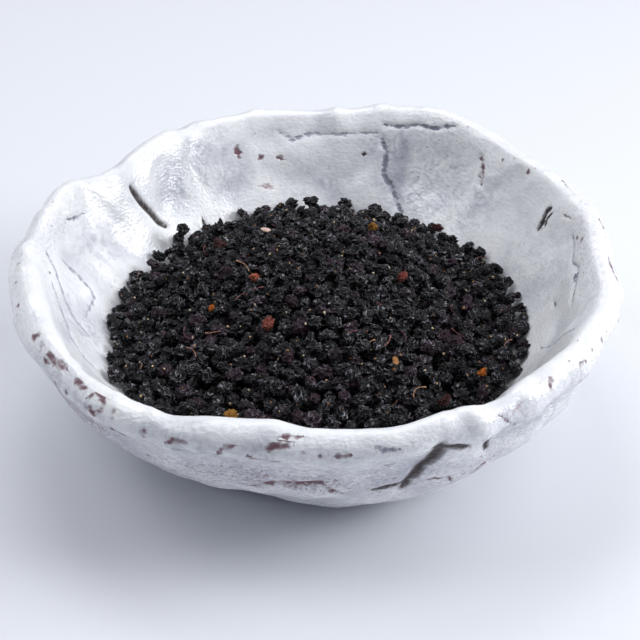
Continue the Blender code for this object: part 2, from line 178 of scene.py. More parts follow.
# Where the glaze ran thick and set blue-grey.
GLAZE_POOLS = (
    ("in", 63, 12, 30.8, 8, 0.9), ("in", 47, 9, 34, 8, 0.8), ("in", 70, 8, 40.7, 5, 0.9),
    ("in", 118, 9, 42.1, 5, 0.7), ("in", 125, 10, 36.3, 6, 0.8), ("in", 114, 8, 33.5, 5, 0.7),
    ("in", 59, 9, 39.9, 6, 0.8), ("in", 161, 9, 34.5, 7, 0.6), ("in", 90, 14, 30, 6, 0.5),
    ("in", -170, 12, 30, 8, 0.5), ("in", 15, 14, 32, 8, 0.45), ("out", -100, 30, 36, 8, 0.5),
    ("out", -131, 6, 43, 4, 0.9), ("out", -114, 7, 42, 3.5, 0.9), ("out", -101, 5, 42, 4, 0.9),
    ("out", -87, 5, 43, 3, 0.8), ("out", -143, 7, 43, 4, 0.8), ("out", -64, 8, 41, 4, 0.7),
    ("out", -75, 12, 33, 9, 0.7), ("out", -140, 18, 35, 9, 0.5), ("out", -45, 14, 36, 8, 0.6),
    ("out", 60, 24, 34, 9, 0.5), ("out", 140, 20, 34, 9, 0.5), ("out", 100, 16, 38, 8, 0.5),
)

# The mound, the same as the CAD's.
HEAP_RADIUS = 58.0
HEAP_EDGE = 24.5
HEAP_CREST = 38.5
HEAP_ROUNDNESS = 1.7
HEAP_TILT = 1.5

# How the heap is poured.
CELL = 0.4                   # of the height grid that the berries come to rest on
POUR_RADIUS = 66.0
LOOSE_DEPTH = 8.0            # berries are poured one by one down to this depth, a little over two layers
HEAP_SWELL = (-148, 24, 59.0, 9.0, 2.2)  # azimuth and spread, distance and spread, rise of its fuller side
HEAP_LUMPS = (11.0, 0.9)     # (size, height) of the lumps of its top
KEPT_CLEAR = 0.2             # between the heap and the solids that lie on it
SPOT_RADIUS = 60.5           # berries are dropped no further out than this
SPOTS_TRIED = 14             # each takes the lowest of so many spots
GIVE_UP = 260                # the heap is full once so many in a row have found no room
BERRY_LENGTHS = (4.1, 5.1, 6.7)  # least, usual, most
STANDS_PROUD = (-0.1, 2.3)   # how far a berry may end up above the mound's smooth top
PRESSED_TOGETHER = 0.87      # berries sink into each other, so each rests as if it were this much smaller
HALF_LENGTH = 0.48           # how far a berry reaches each way along itself
FLAT, EDGEWISE = (0.42, 0.36), (0.36, 0.42)  # how far to its sides and up, lying flat or on its narrow side
ON_EDGE = 0.22               # share of berries that lie on their narrow side
LEAN = 0.32                  # how far they lean, in radians
SHOWS = 0.07                 # a berry with more than this share of its outline in sight is made fine
HEAP_SEED = 11

# The shrivelled berries, each worked out one unit long.
FINE_SKINS = 48              # different shapes among the berries in sight
COARSE_SKINS = 8             # and among those below
NOISE_SEED = 7
BERRY_SHAPE = (1.0, 0.84, 0.70)
RIBS = (4, 6, 6, 8)          # thin folds that run from end to end, round one berry: even, so that they meet
RIB_DEPTH = 0.30             # how deep each goes, as a share of the berry's radius
RIB_WANDER = 0.8             # how far a fold strays, in folds
FOLDS_ACROSS = 1.6           # broad folds to half a berry's length
FOLD_DEPTH = 0.34
SLUMPS = 4                   # sides that fell flat as the berry dried
SLUMP_DEPTH = 0.7
DEEPEST = 0.72               # nothing sinks further, as a share of the radius
FACES_PER_PIECE = 190000

# (azimuth, distance, length, turn in degrees) of the berries that lie loose on the mound, as in the CAD.
BLACK_BERRIES = (
    (93, 53, 5.2, 20), (97, 46, 4.6, 75), (38, 56, 4.8, 35), (139, 56, 4.9, 80), (138, 55, 4.6, 10),
    (68, 41, 4.7, 130), (115, 40, 5.0, 60), (20, 44, 4.6, 100), (-8, 51, 4.5, 15), (183, 50, 4.8, 140),
    (168, 37, 4.4, 30), (35, 26, 5.1, 85), (80, 18, 4.5, 10), (-109, 41, 6.0, 50), (-97, 43, 5.4, 110),
    (-77, 38, 5.6, 65), (-30, 24, 4.6, 20), (205, 48, 4.9, 95), (-140, 15, 4.5, 160), (-75, 12, 4.7, 40),
)
RED_BERRIES = (
    (177, 18, 3.3, 25), (-127, 23, 4.8, 60), (141, 37, 4.4, 15), (47, 51, 4.4, 120), (171, 26, 4.2, 10),
    (-104, 33, 4.3, 80), (-32, 42, 4.8, 45), (-52, 52, 4.4, 30), (6, 23, 4.2, 70),
)
RED_SKINS = ("salmon", "brick", "dark", "dark", "plum", "plum", "plum", "dark", "brick")
TAN_BERRIES = ((-116, 52, 4.0, 20), (-162, 31, 2.8, 70), (-35, 52, 2.8, 10), (63, 34, 3.6, 50))
TAN_SKINS = ("straw", "orange", "orange", "straw")
LOOSE_SHRINK = 0.98          # a loose berry's length against its CAD solid's
SEEDS = ((-57, 36, 95), (117, 35, 150))
SEED_SIZE = (3.6, 1.9, 1.1)
WAISTED = (0.30, 0.0)        # how deep the waist of each seed is
# (azimuth, distance, length, turn, bend) of each stalk.
STALKS = (
    (-163, 20, 8.2, 24, 0.12), (160, 23, 8.0, 119, -0.10), (-154, 39, 6.0, 117, 0.20),
    (-144, 42, 4.8, 124, -0.15), (-147, 34, 4.0, 177, 0.04), (-23, 41, 5.4, 152, 0.10),
    (-62, 28, 4.2, 50, 0.15), (-54, 30, 4.2, 65, -0.12), (-70, 24, 3.4, 31, 0.10),
    (-56, 46, 5.0, 47, 0.25), (-45, 31, 3.8, 105, -0.15), (29, 54, 5.8, 50, 0.20), (-16, 53, 4.4, 56, 0.10),
)
STALK_RADIUS = 0.17

BERRY_ENDS = 520             # pale stalk scars that show on the heap's berries
THREADS = 64                 # thin stalks still caught among the berries

# (azimuth and elevation in degrees, watts) of the square soft lights.
SOFT_LIGHTS = (
    ("right_window", 0, 28, 5.9), ("right_skylight", 0, 60, 1.8), ("far_skylight", 105, 60, 2.2),
    ("left_skylight", 180, 60, 2.1), ("left_window", 180, 28, 0.6), ("overhead", 0, 88, 0.8),
)
LIGHT_DISTANCE = 0.95
LIGHT_SIDE = 0.42
ROOM_LIGHT = 0.16

TABLE_SIZE = 1.6

# The eye stands this far off, this high up, and aims at a point over the table.
EYE_DISTANCE = 0.420
EYE_ELEVATION = 35.6
AIM_HEIGHT = 0.024
LENS = 84.4
SENSOR = 36.0


def linear(hex_colour):
    """An sRGB hex colour as the linear RGBA that Blender's sockets hold."""
    parts = [int(hex_colour[i:i + 2], 16) / 255 for i in (1, 3, 5)]
    return (*[c / 12.92 if c <= 0.04045 else ((c + 0.055) / 1.055) ** 2.4 for c in parts], 1.0)


def add(tree, kind, settings=None, inputs=None):
    """Adds a node of that kind. An input is a value, or the socket that feeds it."""
    node = tree.nodes.new("ShaderNode" + kind)
    for name, value in (settings or {}).items():
        setattr(node, name, value)
    for name, value in (inputs or {}).items():
        if isinstance(value, bpy.types.NodeSocket):
            tree.links.new(value, node.inputs[name])
        else:
            node.inputs[name].default_value = value
    return node


def new_material(name):
    """(material, its tree, its Principled shader)."""
    material = bpy.data.materials.new(name)
    material.use_nodes = True
    return material, material.node_tree, material.node_tree.nodes["Principled BSDF"]


def glazed_stoneware():
    """Dark stoneware under a thick white tin glaze, dipped and fired.

    The glaze is glassy, so it mirrors the lights softly. It drew back from folds and edges, and the clay
    shows there in wine-brown lines and speckles. Where it pooled it set blue-grey. Grey shade is painted
    into the hollows of the wall, and a few grooves under the lip's folds are painted grey as their shadow.
    """
    material, tree, shader = new_material("tin_glazed_stoneware")
    where = add(tree, "TexCoord").outputs["Object"]
    # "mark" holds the distance to the nearest mark, its half width and its tone. "wash" holds how much
    # clay shows, pooled glaze, depth of hollow for the painted shade, and orange peel there is.
    mark = add(tree, "Attribute", {"attribute_name": "mark"})
    wash = add(tree, "Attribute", {"attribute_name": "wash"})
    line = add(tree, "SeparateColor", inputs={"Color": mark.outputs["Color"]})
    skin = add(tree, "SeparateColor", inputs={"Color": wash.outputs["Color"]})
    clay, pool, hollow = skin.outputs
    peel_amount = wash.outputs["Alpha"]

    # Clouds 16 mm across, drawn out by the dipping, and streaks 5 mm apart. Orange peel and freckles of
    # clay 1.5 mm apart and blotches 2.6 mm apart, all longer round the wall than up it. Ragged edges.
    around = add(tree, "Attribute", {"attribute_name": "place_on_wall"}).outputs["Vector"]
    clouds, streaks, peel, blotches, freckles, ragged = [
        add(tree, "TexNoise", inputs={
            "Vector": place, "Scale": 1 / apart, "Detail": detail, "Roughness": rough, "Distortion": bent,
        }).outputs["Fac"]
        for place, apart, detail, rough, bent in (
            (where, 16 * MM, 4.0, 0.55, 0.9), (where, 5 * MM, 5.0, 0.6, 2.2), (around, 1.5, 2.0, 0.5, 0.3),
            (around, 2.6, 1.5, 0.5, 0.3), (around, 1.5, 1.5, 0.5, 0.5), (where, 1.1 * MM, 3.0, 0.65, 0.0))]

    cloud_share = add(tree, "MapRange", inputs={"Value": clouds, "From Min": 0.42, "From Max": 0.66})
    streak_share = add(tree, "MapRange", inputs={"Value": streaks, "From Min": 0.46, "From Max": 0.68})
    pooled = add(tree, "Math", {"operation": "MULTIPLY_ADD"}, {0: pool, 1: 0.75, 2: 0.06})
    clouded = add(tree, "Math", {"operation": "MULTIPLY"}, {
        0: cloud_share.outputs["Result"], 1: pooled.outputs[0]})
    streaked = add(tree, "Math", {"operation": "MULTIPLY"}, {
        0: streak_share.outputs["Result"], 1: pooled.outputs[0]})
    white = add(tree, "Mix", {"data_type": "RGBA"}, {
        0: clouded.outputs[0], 6: linear("#fafbfd"), 7: linear("#a9adbd")})
    shaded = add(tree, "Mix", {"data_type": "RGBA"}, {
        0: streaked.outputs[0], 6: white.outputs[2], 7: linear("#9ea2b2")})

    # Thin glaze in the hollows of the peel turns violet-grey where the clay is near.
    thin = add(tree, "MapRange", inputs={"Value": peel, "From Min": 0.52, "From Max": 0.34})
    near_clay = add(tree, "Math", {"operation": "MULTIPLY"}, {0: thin.outputs["Result"], 1: clay})
    violet = add(tree, "Mix", {"data_type": "RGBA"}, {
        0: near_clay.outputs[0], 6: shaded.outputs[2], 7: linear("#a397ac")})
    # Painted shade: the hollows of the wall's lumps and of the lip's folds are tinted blue-grey, as if in
    # shade.
    painted_hollow_shade = add(tree, "Math", {"operation": "MULTIPLY"}, {0: hollow, 1: 0.28})
    hollow_shaded_colour = add(tree, "Mix", {"data_type": "RGBA"}, {
        0: painted_hollow_shade.outputs[0], 6: violet.outputs[2], 7: linear("#9b9cb0")})

    bare = add(tree, "Math", {"operation": "MULTIPLY_ADD"}, {0: clay, 1: 0.26, 2: freckles})
    bared = add(tree, "MapRange", {"interpolation_type": "SMOOTHSTEP"}, {
        "Value": bare.outputs[0], "From Min": 0.72, "From Max": 0.84, "To Min": 0.0, "To Max": 0.75})
    freckled = add(tree, "Mix", {"data_type": "RGBA"}, {
        0: bared.outputs["Result"], 6: hollow_shaded_colour.outputs[2], 7: linear("#876873")})

    # The edge of a mark wanders by up to 0.4 mm. All but the deep cracks swell and thin out in blotches.
    wander = add(tree, "Math", {"operation": "MULTIPLY_ADD"}, {0: ragged, 1: 1.3, 2: -0.65})
    off_line = add(tree, "Math", {"operation": "ADD"}, {0: line.outputs[0], 1: wander.outputs[0]})
    from_line = add(tree, "Math", {"operation": "ABSOLUTE"}, {0: off_line.outputs[0]})
    half_width = add(tree, "Math", {"operation": "MAXIMUM"}, {0: line.outputs[1], 1: 0.001})
    straight = add(tree, "Math", {"operation": "DIVIDE"}, {0: from_line.outputs[0], 1: half_width.outputs[0]})
    uneven = add(tree, "MapRange", inputs={
        "Value": blotches, "From Min": 0.66, "From Max": 0.34, "To Min": 0.55, "To Max": 2.2})
    earth = add(tree, "Math", {"operation": "LESS_THAN"}, {0: line.outputs[2], 1: (EARTH + WINE) / 2})
    even = add(tree, "Mix", {"data_type": "FLOAT"}, {
        0: earth.outputs[0], 2: uneven.outputs["Result"], 3: 0.85})
    share = add(tree, "Math", {"operation": "MULTIPLY"}, {0: straight.outputs[0], 1: even.outputs[0]})
    marked = add(tree, "MapRange", {"interpolation_type": "SMOOTHSTEP"}, {
        "Value": share.outputs[0], "From Min": 1.9, "From Max": 0.2})
    # Glaze bridged parts of every mark but the deep cracks, and the clay is ashen in places.
    bridged = add(tree, "MapRange", inputs={
        "Value": blotches, "From Min": 0.36, "From Max": 0.56, "To Min": 0.45, "To Max": 1.0})
    unbridged = add(tree, "Math", {"operation": "MAXIMUM"}, {
        0: bridged.outputs["Result"], 1: earth.outputs[0]})
    mark_share = add(tree, "Math", {"operation": "MULTIPLY"}, {
        0: marked.outputs["Result"], 1: unbridged.outputs[0]})
    tones = add(tree, "ValToRGB", inputs={"Fac": line.outputs[2]})
    tones.color_ramp.interpolation = "CONSTANT"
    stops = tones.color_ramp.elements
    stops[0].position, stops[0].color = 0.0, linear("#261312")
    stops[1].position, stops[1].color = 0.22, linear("#77535f")
    for position, colour in ((0.48, "#85879a"), (0.72, "#9c6f74"), (0.88, "#b3b6c4")):
        stops.new(position).color = linear(colour)
    ashen = add(tree, "MapRange", inputs={
        "Value": ragged, "From Min": 0.50, "From Max": 0.75, "To Min": 0.0, "To Max": 0.5})
    mark_colour = add(tree, "Mix", {"data_type": "RGBA"}, {
        0: ashen.outputs["Result"], 6: tones.outputs["Color"], 7: linear("#6b5f64")})
    marked_colour = add(tree, "Mix", {"data_type": "RGBA"}, {
        0: mark_share.outputs[0], 6: freckled.outputs[2], 7: mark_colour.outputs[2]})
    tree.links.new(marked_colour.outputs[2], shader.inputs["Base Color"])

    dry = add(tree, "Math", {"operation": "MAXIMUM"}, {0: mark_share.outputs[0], 1: bared.outputs["Result"]})
    roughness = add(tree, "MapRange", inputs={
        "Value": dry.outputs[0], "From Min": 0.0, "From Max": 1.0, "To Min": 0.14, "To Max": 0.55})
    tree.links.new(roughness.outputs["Result"], shader.inputs["Roughness"])
    shader.inputs["IOR"].default_value = 1.52

    peel_height = add(tree, "Math", {"operation": "MULTIPLY"}, {0: peel, 1: peel_amount})
    sunk = add(tree, "Math", {"operation": "MULTIPLY_ADD"}, {
        0: dry.outputs[0], 1: -0.45, 2: peel_height.outputs[0]})
    bump = add(tree, "Bump", inputs={"Strength": 0.9, "Distance": 0.55 * MM, "Height": sunk.outputs[0]})
    ripple = add(tree, "Bump", inputs={
        "Strength": 0.10, "Distance": 0.6 * MM, "Height": streaks, "Normal": bump.outputs["Normal"]})
    tree.links.new(ripple.outputs["Normal"], shader.inputs["Normal"])
    return material


def dried_skin(name, hollow, highlight, tint, roughness):
    """The skin of a berry, shrunk by drying: waxy and leathery.

    The hollows between its folds stay dark. The crests of the folds are shinier, and are painted a paler
    colour as highlights, so they draw thin light lines. The attribute "skin" holds two waves, each zero
    along the crests of its folds, and a number of the berry's own.
    """
    material, tree, shader = new_material(name)
    where = add(tree, "TexCoord").outputs["Object"]
    skin = add(tree, "Attribute", {"attribute_name": "skin"})
    rib_wave, broad_wave, own = add(tree, "SeparateXYZ", inputs={"Vector": skin.outputs["Vector"]}).outputs
    blotch_noise = add(tree, "TexNoise", inputs={
        "Vector": where, "Scale": 1 / (2.6 * MM), "Detail": 2.0, "Roughness": 0.5})
    # Crinkles 1 mm apart: a crest wherever the noise passes its middle. They show far less than the folds.
    crinkle = add(tree, "TexNoise", inputs={
        "Vector": where, "Scale": 1 / (2.0 * MM), "Detail": 0.0, "Roughness": 0.5, "Distortion": 0.4})
    crinkle_wave = add(tree, "Math", {"operation": "MULTIPLY_ADD"}, {
        0: crinkle.outputs["Fac"], 1: 8.0, 2: -4.0})
    crests = []
    for wave, width in ((rib_wave, 0.28), (broad_wave, 0.16), (crinkle_wave.outputs[0], 0.40)):
        off_crest = add(tree, "Math", {"operation": "ABSOLUTE"}, {0: wave})
        crests.append(add(tree, "MapRange", {"interpolation_type": "SMOOTHSTEP"}, {
            "Value": off_crest.outputs[0], "From Min": width, "From Max": 0.0}))
    folded = add(tree, "Math", {"operation": "MAXIMUM"}, {
        0: crests[0].outputs["Result"], 1: crests[1].outputs["Result"]})
    fine = add(tree, "Math", {"operation": "MULTIPLY"}, {0: crests[2].outputs["Result"], 1: 0.08})
    crest = add(tree, "Math", {"operation": "MAXIMUM"}, {0: folded.outputs[0], 1: fine.outputs[0]})

    # Painted highlights: the crests of the folds take the paler highlight colour, more in some patches than
    # others.
    patchy = add(tree, "MapRange", inputs={
        "Value": blotch_noise.outputs["Fac"], "From Min": 0.38, "From Max": 0.66, "To Min": 0.12, "To Max": 1.15})
    painted_crest_highlight = add(tree, "Math", {"operation": "MULTIPLY"}, {0: crest.outputs[0], 1: patchy.outputs["Result"]})
    skin_colour = add(tree, "Mix", {"data_type": "RGBA"}, {
        0: painted_crest_highlight.outputs[0], 6: linear(hollow), 7: linear(highlight)})
    # Only some berries keep a tint of juice.
    tinted = add(tree, "MapRange", inputs={
        "Value": own, "From Min": 0.74, "From Max": 1.0, "To Min": 0.0, "To Max": 0.8})
    tint_share = add(tree, "Math", {"operation": "MULTIPLY"}, {
        0: tinted.outputs["Result"], 1: blotch_noise.outputs["Fac"]})
    colour = add(tree, "Mix", {"data_type": "RGBA"}, {
        0: tint_share.outputs[0], 6: skin_colour.outputs[2], 7: linear(tint)})
    tree.links.new(colour.outputs[2], shader.inputs["Base Color"])
    shine = add(tree, "MapRange", inputs={
        "Value": crest.outputs[0], "From Min": 0.0, "From Max": 0.9,
        "To Min": roughness + 0.15, "To Max": roughness - 0.06})
    tree.links.new(shine.outputs["Result"], shader.inputs["Roughness"])
    shader.inputs["IOR"].default_value = 1.32
    crinkled = add(tree, "Bump", inputs={"Strength": 1.0, "Distance": 0.34 * MM, "Height": crest.outputs[0]})
    tree.links.new(crinkled.outputs["Normal"], shader.inputs["Normal"])
    return material


def dry_fibre(name, colours, roughness):
    """Dead plant fibre: stalks, stalk scars and seed coats. Matt, and streaked from pale straw to wine."""
    material, tree, shader = new_material(name)
    where = add(tree, "TexCoord").outputs["Object"]
    skin = add(tree, "Attribute", {"attribute_name": "skin"})
    _, _, own = add(tree, "SeparateXYZ", inputs={"Vector": skin.outputs["Vector"]}).outputs
    fibres = add(tree, "TexNoise", inputs={
        "Vector": where, "Scale": 1 / (0.9 * MM), "Detail": 3.0, "Roughness": 0.6})
    blend = add(tree, "Math", {"operation": "MULTIPLY_ADD"}, {0: fibres.outputs["Fac"], 1: 0.7, 2: -0.35})
    along = add(tree, "Math", {"operation": "ADD"}, {0: own, 1: blend.outputs[0]})
    ramp = add(tree, "ValToRGB", inputs={"Fac": along.outputs[0]})
    stops = ramp.color_ramp.elements
    stops[0].position, stops[0].color = 0.0, linear(colours[0])
    stops[1].position, stops[1].color = 1.0, linear(colours[-1])
    for number, colour in enumerate(colours[1:-1], start=1):
        stops.new(number / (len(colours) - 1)).color = linear(colour)
    tree.links.new(ramp.outputs["Color"], shader.inputs["Base Color"])
    shader.inputs["Roughness"].default_value = roughness
    bump = add(tree, "Bump", inputs={
        "Strength": 0.5, "Distance": 0.1 * MM, "Height": fibres.outputs["Fac"]})
    tree.links.new(bump.outputs["Normal"], shader.inputs["Normal"])
    return material


def table_top():
    """A matt painted board: pale, even and without gloss."""
    material, tree, shader = new_material("matt_painted_board")
    shader.inputs["Base Color"].default_value = linear("#eceef3")
    shader.inputs["Roughness"].default_value = 0.7
    return material


def finished(name, mesh, material, slot, *nodes):
    """Puts a mesh into the scene as a piece that stands for those CAD nodes."""
    mesh.materials.clear()
    mesh.materials.append(material)
    mesh.shade_smooth()
    piece = bpy.data.objects.new(name, mesh)
    bpy.context.scene.collection.objects.link(piece)
    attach(piece, "root")
    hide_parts(*nodes)
    return piece


def mesh_of(shape, name):
    bmesh.ops.recalc_face_normals(shape, faces=shape.faces)
    mesh = bpy.data.meshes.new(name)
    shape.to_mesh(mesh)
    shape.free()
    return mesh


def read_points(mesh, what="co"):
    source = mesh.vertices if what == "co" else mesh.vertex_normals
    values = np.empty(len(mesh.vertices) * 3, np.float32)
    source.foreach_get("co" if what == "co" else "vector", values)
    return values.reshape(-1, 3).astype(float)


def write_points(mesh, points):
    mesh.vertices.foreach_set("co", points.astype(np.float32).ravel())
    mesh.update()


def smooth_through(points, cuts):
    """Points of a smooth (Catmull-Rom) curve through points, with so many pieces between each two."""
    ends = [points[0], *points, points[-1]]
    curve = []
    for before, start, end, after, pieces in zip(ends, ends[1:], ends[2:], ends[3:], cuts):
        for step in range(pieces):
            t = step / pieces
            curve.append(
                0.5 * (2 * start + (end - before) * t
                       + (2 * before - 5 * start + 4 * end - after) * t ** 2
                       + (3 * start - before - 3 * end + after) * t ** 3)
            )
    return curve + [points[-1]]


def falloff(distance, spread):
    return np.exp(-((distance / spread) ** 2))


def angle_between(a, b):
    """The smaller angle between two azimuths, in degrees."""
    return np.abs((a - b + 180) % 360 - 180)


def noise_at(points, size):
    """Smooth noise, from about -1 to 1, at each point, with lumps of that size."""
    return np.array([noise.noise(Vector(p)) for p in points / size])


def pressed(points):
    """Where points of the turned wall go once it is pressed by hand, as the CAD has it."""
    distance = np.maximum(np.hypot(points[:, 0], points[:, 1]), 1e-6)
    azimuth = np.degrees(np.arctan2(points[:, 1], points[:, 0]))
    height = points[:, 2]
    share = np.maximum(height / RIM_HEIGHT, 0.0) ** 2
    off_foot = off_the_foot(points)
    push, lift = np.zeros(len(points)), np.zeros(len(points))
    for centre, spread, out, up in RIM_SWELLS:
        near = falloff(angle_between(azimuth, centre), spread) * share
        push += out * near
        lift += up * near
    for centre, spread, middle, reach, out in WALL_BULGES:
        near = falloff(angle_between(azimuth, centre), spread)
        push += out * near * falloff(height - middle, reach) * off_foot
    push += PINCH_DEPTH * noise_at(points, PINCH_SIZE) * off_foot
    scale = (distance + push) / distance
    return np.column_stack([points[:, 0] * scale, points[:, 1] * scale, height + lift])


def off_the_foot(points):
    """0 on the flat underside, and 1 well up the wall."""
    distance = np.hypot(points[:, 0], points[:, 1])
    return np.minimum(distance / FOOT_RADIUS, 1.0) ** 4 * np.clip(points[:, 2] / FOOT_ROLL, 0.0, 1.0)


def wall_points(shares):
    return [Vector((RIM_RADIUS * r, 0.0, RIM_HEIGHT * z)) for r, z in shares]


def patches(places, wall, azimuth, height):
    """How much of a finish there is at each point: the strongest of its patches."""
    amount = np.zeros(len(azimuth))
    for side, centre, spread, middle, reach, strength in places:
        near = falloff(angle_between(azimuth, centre), spread) * falloff(height - middle, reach)
        amount = np.maximum(amount, strength * near * (wall == side))
    return amount


def draw_marks(points, normals, wall, azimuth, height):
    """(distance to the nearest mark, negative on one side of it; its half width there; its tone; groove)."""
    nearest = np.full(len(points), MARK_REACH)
    beside, width = np.full(len(points), MARK_REACH), np.zeros(len(points))
    tone, groove = np.zeros(len(points)), np.zeros(len(points))
    spots = [(spot_tone, half, depth, side, place)
             for spot_tone, depth, side, *group in SPOTS for half, *place in group]
    for mark_tone, half, depth, side, *places in (*MARKS, *spots):
        on_wall = np.flatnonzero(wall == side)
        stops = []
        for place_azimuth, place_height in places:
            off = np.radians(angle_between(azimuth[on_wall], place_azimuth)) * RIM_RADIUS
            stops.append(points[on_wall[np.argmin(np.hypot(off, height[on_wall] - place_height))]])
        stops = np.array(stops if len(stops) > 1 else stops * 2)
        steps = len(stops) - 1
        for number, (start, end) in enumerate(zip(stops, stops[1:])):
            near = on_wall[np.linalg.norm(points[on_wall] - (start + end) / 2, axis=1)
                           < MARK_REACH + np.linalg.norm(end - start) / 2]
            run = end - start
            along = np.clip(
                ((points[near] - start) @ run) / max(run @ run, 1e-9), 0.0, 1.0)
            off = points[near] - (start + along[:, None] * run)
            distance = np.linalg.norm(off, axis=1)
            # Only a thin line needs its two sides told apart, to stay sharp between points of the mesh.
            other_side = np.einsum("ij,ij->i", np.cross(run, off), normals[near]) < 0
            sense = np.where(other_side & (half < THIN_MARK), -1.0, 1.0)
            # A line thins out towards its two ends.
            share = (number + along) / steps
            thin = 1.0 if len(places) == 1 else 0.45 + 0.55 * np.sin(np.pi * np.clip(share, 0, 1)) ** 0.6
            here = half * thin * np.clip(1 - (distance - half) / MARK_MARGIN, 0.0, 1.0)
            closer = distance < nearest[near]
            chosen = near[closer]
            nearest[chosen] = distance[closer]
            beside[chosen] = (distance * sense)[closer]
            width[chosen] = np.broadcast_to(here, len(near))[closer]
            tone[chosen] = mark_tone
            groove[near] = np.maximum(groove[near], depth * falloff(distance, max(half, 0.7)))
    return beside, width, tone, groove


def turned_bowl():
    """The bowl as turned, and how far each of its points is from the lip's crest along the wall: less than
    nothing outside."""
    section_cuts = (OUTSIDE_CUTS,) * len(OUTSIDE) + (LIP_CUTS,) * len(LIP) + INSIDE_CUTS
    section = smooth_through(wall_points(OUTSIDE + LIP + INSIDE), section_cuts)
    shape = bmesh.new()
    verts = [shape.verts.new(p) for p in [Vector((0, 0, 0)), *section]]
    edges = [shape.edges.new(pair) for pair in zip(verts, verts[1:])]
    bmesh.ops.spin(
        shape, geom=verts + edges, cent=(0, 0, 0), axis=(0, 0, 1),
        angle=2 * math.pi, steps=BOWL_STEPS, use_merge=True)
    bmesh.ops.remove_doubles(shape, verts=shape.verts, dist=0.01)
    mesh = mesh_of(shape, "stoneware_bowl")

    turned = read_points(mesh)
    profile = np.array(section)[:, (0, 2)]
    run = np.concatenate([[0], np.cumsum(np.linalg.norm(np.diff(profile, axis=0), axis=1))])
    here = np.column_stack([np.hypot(turned[:, 0], turned[:, 1]), turned[:, 2]])
    number = np.concatenate([
        np.argmin(np.linalg.norm(part[:, None] - profile, axis=2), axis=1)
        for part in np.array_split(here, 40)])
    lip_at = OUTSIDE_CUTS * len(OUTSIDE) + LIP_CUTS // 2
    return mesh, run[number] - run[lip_at]


def make_bowl():
    """The bowl, one closed skin, with folds, thumb marks and cracks in its shape."""
    mesh, from_lip = turned_bowl()
    turned = read_points(mesh)
    points = pressed(turned)
    write_points(mesh, points)
    normals = read_points(mesh, "normal")
    azimuth = np.degrees(np.arctan2(points[:, 1], points[:, 0]))
    wall = np.where(from_lip < 0, "out", "in")
    free = off_the_foot(turned)

    lumps = noise_at(points + (31, 7, 11), THUMB_MARKS[0])
    tips = noise_at(points + (3, 19, 5), FINGERTIPS[0])
    rim = np.column_stack([np.cos(np.radians(azimuth)), np.sin(np.radians(azimuth))]) * RIM_RADIUS
    # Folds run slantwise over the lip, each a sharp crest with a soft back.
    slant = np.column_stack([
        rim[:, 0] + FOLD_SLANT * from_lip, rim[:, 1] - FOLD_SLANT * from_lip, 0.45 * from_lip])
    crest = 1 - np.minimum(np.abs(noise_at(slant, LIP_FOLD[0])) * 1.9, 1.0)
    on_lip = falloff(from_lip, LIP_REACH)
    beside, width, tone, groove = draw_marks(points, normals, wall, azimuth, points[:, 2])
    smoother = np.where(wall == "in", WIPED_INSIDE, 1.0) * free
    # The lip is rolled outwards: it stands out under its crest, and the wall tucks in below it.
    roll = LIP_ROLL * (0.7 + 0.6 * noise_at(slant * (1, 1, 0), 30.0))
    push = (
        roll * falloff(from_lip + ROLL_PLACE[0], ROLL_PLACE[1])
        - TUCK_DEPTH * roll * falloff(from_lip + TUCK_PLACE[0], TUCK_PLACE[1])
        + (THUMB_MARKS[1] * lumps + FINGERTIPS[1] * tips) * smoother
        + LIP_FOLD[1] * (crest - 0.45) * on_lip - groove * free
    )
    shaped = points + normals * push[:, None]
    write_points(mesh, shaped * MM)

    plain = 1 - patches(PLAIN, wall, azimuth, points[:, 2])
    clay = patches(CLAY_SHOWS, wall, azimuth, points[:, 2]) * plain
    pool = patches(GLAZE_POOLS, wall, azimuth, points[:, 2])
    # How deep each point lies in a hollow of the lumps and lip folds, for the shade painted there.
    hollow = np.clip(-1.3 * lumps - 0.5 * tips - 0.7 * (crest - 0.45) * on_lip, 0.0, 1.0) * free
    peel = np.where(wall == "out", 0.9 - 0.5 * falloff(from_lip, 4.0), 0.35) * free * plain
    paint(mesh, "mark", beside, width, tone, np.ones(len(points)))
    paint(mesh, "wash", clay, pool, hollow, peel)
    place = np.column_stack([rim, from_lip * PEEL_STRETCH])
    attribute = mesh.attributes.new("place_on_wall", "FLOAT_VECTOR", "POINT")
    attribute.data.foreach_set("vector", place.astype(np.float32).ravel())
    finished("stoneware_bowl", mesh, glazed_stoneware(), "white_glaze", "bowl")


def paint(mesh, name, *channels):
    """Stores four numbers at each point of a mesh, for its material to read. The last may go unread."""
    attribute = mesh.attributes.new(name, "FLOAT_COLOR", "POINT")
    attribute.data.foreach_set("color", np.column_stack(channels).astype(np.float32).ravel())


def mound_height(distance, azimuth):
    """Height of the mound's smooth top; azimuth in radians."""
    share = np.minimum(distance / HEAP_RADIUS, 1.0)
    rise = (HEAP_CREST - HEAP_EDGE) * (1 - share ** HEAP_ROUNDNESS)
    return HEAP_EDGE + rise + HEAP_TILT * share * np.sin(azimuth)


def surface_below(mesh, grid):
    """Height of a CAD mesh under each place of the grid, from above, or -1 where there is none."""
    shape = bmesh.new()
    shape.from_mesh(mesh)
    tree = BVHTree.FromBMesh(shape)
    shape.free()
    down, high = Vector((0, 0, -1)), 0.2
    heights = np.full(grid.shape[:2], -1.0)
    for row, column in np.ndindex(grid.shape[:2]):
        x, y = grid[row, column] * MM
        hit = tree.ray_cast(Vector((x, y, high)), down)[0]
        if hit is not None:
            heights[row, column] = hit.z / MM
    return heights


